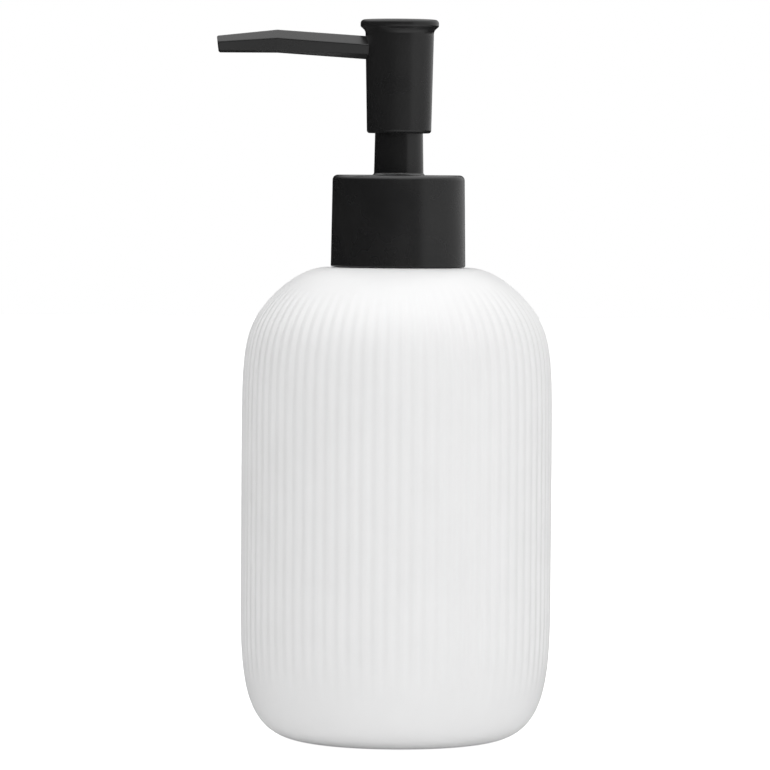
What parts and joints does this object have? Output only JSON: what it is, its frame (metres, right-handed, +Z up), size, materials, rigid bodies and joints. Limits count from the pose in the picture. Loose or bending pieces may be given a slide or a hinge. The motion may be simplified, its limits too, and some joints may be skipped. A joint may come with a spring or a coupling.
{
  "type": "soap pump dispenser",
  "caption": "Press-top pump bottle for liquid soap: round reeded bottle, screw collar, spring pump with a swivelling press head and long faceted nozzle.",
  "frame": {"origin": "middle of the bottle's flat base", "axes": "+Z up along the bottle's axis, the nozzle points along -X at rest"},
  "size_m": [0.0835, 0.0768, 0.1784],
  "materials": {
    "bottle_white": "satin",
    "pump_black": "satin",
    "pump_natural": "natural polypropylene, satin",
    "cap_black": "moulded, satin",
    "seal_white": "soft polyethylene",
    "steel": "drawn stainless wire and ball"
  },
  "bodies": {
    "bottle": {"bottle": "bottle_white"},
    "pump_unit": {"pump_housing": "pump_natural", "chaplet": "pump_black", "neck_gasket": "seal_white", "ball_cage": "pump_natural", "dip_tube": "pump_natural"},
    "collar": {"screw_cap": "cap_black", "collar_shell": "pump_black"},
    "spring_top": {"return_spring": "steel"},
    "piston": {"piston": "seal_white"},
    "plunger": {"pump_stem": "pump_natural", "stem_plug": "pump_natural", "pump_head": "pump_black", "nozzle": "pump_black"},
    "ball": {"inlet_ball": "steel"}
  },
  "joints": [
    {"name": "pump_lift", "type": "slide", "parent": "bottle", "child": "pump_unit", "axis": [0, 0, 1], "range_m": [0, 0.00635]},
    {"name": "collar_turn", "type": "hinge", "parent": "pump_unit", "child": "collar", "pos_m": [0, 0, 0.13], "axis": [0, 0, 1], "range_deg": [0, 540]},
    {"name": "pump_stroke", "type": "slide", "parent": "pump_unit", "child": "spring_top", "axis": [0, 0, -1], "range_m": [0, 0.01], "stiffness_N_per_m": 890, "springref_m": -0.007, "deforming": ["return_spring"]},
    {"name": "head_swivel", "type": "hinge", "parent": "spring_top", "child": "plunger", "pos_m": [0, 0, 0.16], "axis": [0, 0, 1], "continuous": true},
    {"name": "piston_slip", "type": "slide", "parent": "spring_top", "child": "piston", "axis": [0, 0, 1], "range_m": [0, 0.00085]},
    {"name": "inlet_ball_lift", "type": "slide", "parent": "pump_unit", "child": "ball", "axis": [0, 0, 1], "range_m": [0, 0.0012]}
  ],
  "couplings": [
    {"joint": "collar_turn", "follows": "pump_lift", "rad_per_m": 1484.2}
  ]
}
